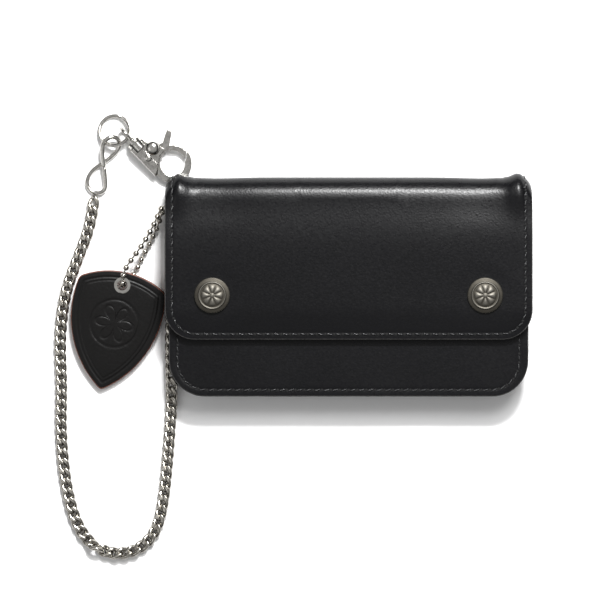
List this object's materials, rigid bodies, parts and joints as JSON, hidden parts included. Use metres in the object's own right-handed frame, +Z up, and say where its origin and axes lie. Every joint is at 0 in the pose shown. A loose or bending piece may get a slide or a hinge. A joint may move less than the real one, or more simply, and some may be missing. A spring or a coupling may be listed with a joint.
{
  "type": "chain wallet",
  "caption": "Long leather wallet with a snapped fold-over flap, a zipped coin pocket, and a belt chain with a swivel clasp and a hanging tag.",
  "frame": {"origin": "on the surface the wallet lies on, under the middle of the closed wallet", "axes": "+X to the right along the wallet's length, +Y towards the fold, +Z up through the flap"},
  "size_m": [0.2196, 0.2053, 0.0229],
  "materials": {
    "black_leather": "semi-matte, fine grain, dark stitching",
    "lining": "matte black lining leather",
    "zip_tape": "black woven tape",
    "dark_metal": "nickel-plated zip",
    "antique_silver": "antiqued silver",
    "nickel": "polished nickel",
    "spring_steel": "bright spring wire",
    "chain_metal": "worn nickel",
    "tag_leather": "black face, embossed",
    "tag_core": "russet core seen at the edge"
  },
  "bodies": {
    "wallet": {"outer_back": "black_leather", "front_panel": "black_leather", "back_lining": "lining", "front_lining": "lining", "bill_divider": "lining", "card_slot_panel_1": "lining", "card_slot_panel_2": "lining", "coin_pocket_back": "lining", "gusset_left": "lining", "gusset_right": "lining", "gusset_bottom": "lining", "chain_keeper": "lining", "zip_tape": "zip_tape", "zip_teeth": "dark_metal", "snap_stud_left": "nickel", "snap_stud_right": "nickel", "snap_washer_left": "nickel", "snap_washer_right": "nickel", "dee_ring": "nickel", "chain_end_ring": "nickel", "swivel_eye": "nickel", "split_ring": "nickel", "eight_link": "nickel", "tag_eyelet": "nickel", "ball_chain_coupling": "nickel", "curb_chain": "chain_metal", "ball_chain": "chain_metal", "tag_face": "tag_leather", "tag_back": "tag_core"},
    "flap": {"flap": "black_leather", "flap_lining": "lining", "snap_cap_left": "antique_silver", "snap_cap_right": "antique_silver", "snap_socket_left": "nickel", "snap_socket_right": "nickel"},
    "clasp": {"clasp_body": "nickel", "gate_pin": "nickel", "gate_spring": "spring_steel"},
    "gate": {"clasp_gate": "nickel"},
    "zip_slider": {"zip_slider": "dark_metal", "zip_pull": "dark_metal"}
  },
  "joints": [
    {"name": "flap_hinge", "type": "hinge", "parent": "wallet", "child": "flap", "pos_m": [0, 0.05025, 0.0104], "axis": [-1, 0, 0], "range_deg": [0, 150]},
    {"name": "clasp_swivel", "type": "hinge", "parent": "wallet", "child": "clasp", "pos_m": [-0.0993, 0.0673, 0.0037], "axis": [-0.6926, 0.7172, 0.0767], "range_deg": [0, 100]},
    {"name": "clasp_gate", "type": "hinge", "parent": "clasp", "child": "gate", "pos_m": [-0.08929, 0.06255, 0.0029], "axis": [-0.0533, 0.0552, -0.9971], "range_deg": [0, 22], "stiffness_Nm_per_rad": 0.02},
    {"name": "zip_slide", "type": "slide", "parent": "wallet", "child": "zip_slider", "axis": [1, 0, 0], "range_m": [0, 0.1]}
  ]
}
